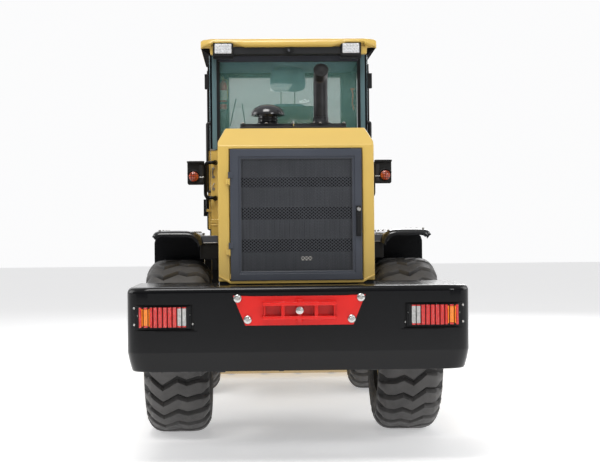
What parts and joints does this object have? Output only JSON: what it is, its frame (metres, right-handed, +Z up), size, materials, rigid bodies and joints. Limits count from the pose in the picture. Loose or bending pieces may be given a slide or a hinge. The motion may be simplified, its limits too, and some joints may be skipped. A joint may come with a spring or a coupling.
{
  "type": "articulated wheel loader",
  "caption": "Articulated wheel loader with rear engine hood, counterweight, glazed cab, front boom with bellcrank linkage and bucket, on large lugged tyres.",
  "frame": {"origin": "centre of the bounding box in plan, on the ground plane the tyres stand on", "axes": "+Z up, +Y forward from the engine towards the bucket, +X to the machine's right"},
  "size_m": [2.8024, 7.7122, 3.4578],
  "materials": {
    "yellow_paint": "semi-gloss yellow paint",
    "black_gloss": "gloss black paint",
    "dark_metal": "matt heat-proof black",
    "cast_grey": "painted casting",
    "red_paint": "red paint",
    "lens_red": "clear red lens",
    "dark_plastic": "textured dark plastic",
    "tinted_glass": "green tinted safety glass",
    "seat_fabric": "woven seat cloth",
    "pin_steel": "turned steel",
    "rod_chrome": "polished chrome",
    "tyre_rubber": "worn rubber"
  },
  "bodies": {
    "rear_chassis": {"rear_frame": "black_gloss", "rear_axle": "cast_grey", "counterweight": "black_gloss", "hitch_plate": "red_paint", "tail_lamp_left": "lens_red", "tail_lamp_right": "lens_red", "engine_block": "cast_grey", "radiator": "dark_metal", "engine_hood": "yellow_paint", "intake_cowl": "dark_plastic", "exhaust_pipe": "dark_metal", "air_precleaner": "dark_plastic", "rear_fender_left": "black_gloss", "rear_fender_right": "black_gloss", "cab_base": "yellow_paint", "cab_frame": "black_gloss", "rear_window": "tinted_glass", "windshield": "tinted_glass", "cab_roof": "yellow_paint", "driver_seat": "seat_fabric", "steering_console": "dark_plastic", "side_lamp_left": "dark_plastic", "side_lamp_right": "dark_plastic"},
    "front_chassis": {"front_frame": "yellow_paint", "front_axle": "cast_grey", "front_fender_left": "black_gloss", "front_fender_right": "black_gloss"},
    "boom": {"boom": "yellow_paint"},
    "bucket_pins": {"bucket_pin": "pin_steel"},
    "bucket": {"bucket": "yellow_paint"},
    "bellcrank_pins": {"bellcrank_pin": "pin_steel"},
    "bellcrank": {"bellcrank": "yellow_paint"},
    "link_pins": {"link_pin": "pin_steel"},
    "bucket_link": {"bucket_link": "yellow_paint"},
    "tilt_barrel": {"tilt_barrel": "black_gloss"},
    "tilt_rod": {"tilt_rod": "rod_chrome"},
    "door_left": {"cab_door_left": "black_gloss", "door_glass_left": "tinted_glass"},
    "door_right": {"cab_door_right": "black_gloss", "door_glass_right": "tinted_glass"},
    "grille": {"grille_door": "black_gloss"},
    "hood_side_left": {"hood_door_left": "yellow_paint"},
    "hood_side_right": {"hood_door_right": "yellow_paint"},
    "wheel_front_left": {"tyre_front_left": "tyre_rubber", "rim_front_left": "yellow_paint"},
    "wheel_front_right": {"tyre_front_right": "tyre_rubber", "rim_front_right": "yellow_paint"},
    "wheel_rear_left": {"tyre_rear_left": "tyre_rubber", "rim_rear_left": "yellow_paint"},
    "wheel_rear_right": {"tyre_rear_right": "tyre_rubber", "rim_rear_right": "yellow_paint"},
    "lift_barrel_left": {"lift_barrel_left": "black_gloss"},
    "lift_rod_left": {"lift_rod_left": "rod_chrome"},
    "steer_barrel_left": {"steer_barrel_left": "black_gloss"},
    "steer_rod_left": {"steer_rod_left": "rod_chrome"},
    "lift_barrel_right": {"lift_barrel_right": "black_gloss"},
    "lift_rod_right": {"lift_rod_right": "rod_chrome"},
    "steer_barrel_right": {"steer_barrel_right": "black_gloss"},
    "steer_rod_right": {"steer_rod_right": "rod_chrome"}
  },
  "joints": [
    {"name": "articulated_steering", "type": "hinge", "parent": "rear_chassis", "child": "front_chassis", "pos_m": [0, -0.09888, 0.904], "axis": [0, 0, 1], "range_deg": [-38, 38]},
    {"name": "front_left_wheel_spin", "type": "hinge", "parent": "front_chassis", "child": "wheel_front_left", "pos_m": [-0.98084, 1.51137, 0.74806], "axis": [1, 0, 0], "continuous": true},
    {"name": "front_right_wheel_spin", "type": "hinge", "parent": "front_chassis", "child": "wheel_front_right", "pos_m": [0.98084, 1.51137, 0.74806], "axis": [1, 0, 0], "continuous": true},
    {"name": "rear_left_wheel_spin", "type": "hinge", "parent": "rear_chassis", "child": "wheel_rear_left", "pos_m": [-0.98084, -1.70913, 0.74806], "axis": [1, 0, 0], "continuous": true},
    {"name": "rear_right_wheel_spin", "type": "hinge", "parent": "rear_chassis", "child": "wheel_rear_right", "pos_m": [0.98084, -1.70913, 0.74806], "axis": [1, 0, 0], "continuous": true},
    {"name": "boom_lift", "type": "hinge", "parent": "front_chassis", "child": "boom", "pos_m": [0, 0.62433, 2.147], "axis": [1, 0, 0], "range_deg": [0, 80]},
    {"name": "bucket_pin_turn", "type": "hinge", "parent": "boom", "child": "bucket_pins", "pos_m": [0, 2.61313, 0.3277], "axis": [1, 0, 0], "range_deg": [-80, 0]},
    {"name": "bucket_tilt", "type": "hinge", "parent": "bucket_pins", "child": "bucket", "pos_m": [0, 2.61313, 0.3277], "axis": [-1, 0, 0], "range_deg": [-40, 40]},
    {"name": "bellcrank_pin_turn", "type": "hinge", "parent": "boom", "child": "bellcrank_pins", "pos_m": [0, 1.91817, 1.35826], "axis": [1, 0, 0], "range_deg": [-80, 0]},
    {"name": "bellcrank_swing", "type": "hinge", "parent": "bellcrank_pins", "child": "bellcrank", "pos_m": [0, 1.91817, 1.35826], "axis": [-1, 0, 0], "range_deg": [-40, 40]},
    {"name": "link_pin_turn", "type": "hinge", "parent": "bellcrank", "child": "link_pins", "pos_m": [0, 2.04276, 1.79275], "axis": [1, 0, 0], "range_deg": [0, 80]},
    {"name": "link_swing", "type": "hinge", "parent": "link_pins", "child": "bucket_link", "pos_m": [0, 2.04276, 1.79275], "axis": [1, 0, 0], "range_deg": [-40, 40]},
    {"name": "tilt_barrel_swing", "type": "hinge", "parent": "front_chassis", "child": "tilt_barrel", "pos_m": [0, 0.62433, 1.8532], "axis": [1, 0, 0], "range_deg": [0, 80]},
    {"name": "tilt_rod_slide", "type": "slide", "parent": "tilt_barrel", "child": "tilt_rod", "axis": [0, 0.8539, -0.5205], "range_m": [-0.1543, 0.1543]},
    {"name": "lift_barrel_left_swing", "type": "hinge", "parent": "front_chassis", "child": "lift_barrel_left", "pos_m": [-0.27685, 0.33053, 0.7232], "axis": [1, 0, 0], "range_deg": [0, 24.21]},
    {"name": "lift_rod_left_slide", "type": "slide", "parent": "lift_barrel_left", "child": "lift_rod_left", "axis": [0, 0.7782, 0.628], "range_m": [0, 0.9725]},
    {"name": "lift_barrel_right_swing", "type": "hinge", "parent": "front_chassis", "child": "lift_barrel_right", "pos_m": [0.27685, 0.33053, 0.7232], "axis": [1, 0, 0], "range_deg": [0, 24.21]},
    {"name": "lift_rod_right_slide", "type": "slide", "parent": "lift_barrel_right", "child": "lift_rod_right", "axis": [0, 0.7782, 0.628], "range_m": [0, 0.9725]},
    {"name": "steer_barrel_left_swing", "type": "hinge", "parent": "rear_chassis", "child": "steer_barrel_left", "pos_m": [-0.5424, -0.94637, 0.791], "axis": [0, 0, 1], "range_deg": [-9.99, 9.99]},
    {"name": "steer_rod_left_slide", "type": "slide", "parent": "steer_barrel_left", "child": "steer_rod_left", "axis": [0.0462, 0.9989, 0], "range_m": [-0.324, 0.324]},
    {"name": "steer_barrel_right_swing", "type": "hinge", "parent": "rear_chassis", "child": "steer_barrel_right", "pos_m": [0.5424, -0.94637, 0.791], "axis": [0, 0, 1], "range_deg": [-9.99, 9.99]},
    {"name": "steer_rod_right_slide", "type": "slide", "parent": "steer_barrel_right", "child": "steer_rod_right", "axis": [-0.0462, 0.9989, 0], "range_m": [-0.324, 0.324]},
    {"name": "cab_door_left_swing", "type": "hinge", "parent": "rear_chassis", "child": "door_left", "pos_m": [-0.74128, -1.32492, 2.486], "axis": [0, 0, 1], "range_deg": [0, 90]},
    {"name": "cab_door_right_swing", "type": "hinge", "parent": "rear_chassis", "child": "door_right", "pos_m": [0.74128, -1.32492, 2.486], "axis": [0, 0, -1], "range_deg": [0, 90]},
    {"name": "grille_door_swing", "type": "hinge", "parent": "rear_chassis", "child": "grille", "pos_m": [-0.51189, -3.31486, 1.8645], "axis": [0, 0, -1], "range_deg": [0, 100]},
    {"name": "hood_door_left_lift", "type": "hinge", "parent": "rear_chassis", "child": "hood_side_left", "pos_m": [-0.60568, -2.34757, 2.3278], "axis": [0, 1, 0], "range_deg": [0, 75]},
    {"name": "hood_door_right_lift", "type": "hinge", "parent": "rear_chassis", "child": "hood_side_right", "pos_m": [0.60568, -2.34757, 2.3278], "axis": [0, -1, 0], "range_deg": [0, 75]}
  ],
  "couplings": [
    {"joint": "bucket_pin_turn", "follows": "boom_lift", "ratio": -1},
    {"joint": "bellcrank_pin_turn", "follows": "boom_lift", "ratio": -1},
    {"joint": "bellcrank_swing", "follows": "bucket_tilt", "ratio": 1},
    {"joint": "link_pin_turn", "follows": "boom_lift", "ratio": 1},
    {"joint": "link_swing", "follows": "bucket_tilt", "ratio": 1},
    {"joint": "tilt_barrel_swing", "follows": "boom_lift", "ratio": 1},
    {"joint": "tilt_rod_slide", "follows": "bucket_tilt", "m_per_rad": -0.22035},
    {"joint": "lift_barrel_left_swing", "follows": "boom_lift", "ratio": 0.302},
    {"joint": "lift_rod_left_slide", "follows": "boom_lift", "m_per_rad": 0.69615},
    {"joint": "lift_barrel_right_swing", "follows": "boom_lift", "ratio": 0.302},
    {"joint": "lift_rod_right_slide", "follows": "boom_lift", "m_per_rad": 0.69615},
    {"joint": "steer_barrel_left_swing", "follows": "articulated_steering", "ratio": 0.26147},
    {"joint": "steer_rod_left_slide", "follows": "articulated_steering", "m_per_rad": -0.48778},
    {"joint": "steer_barrel_right_swing", "follows": "articulated_steering", "ratio": 0.26147},
    {"joint": "steer_rod_right_slide", "follows": "articulated_steering", "m_per_rad": 0.48778}
  ]
}
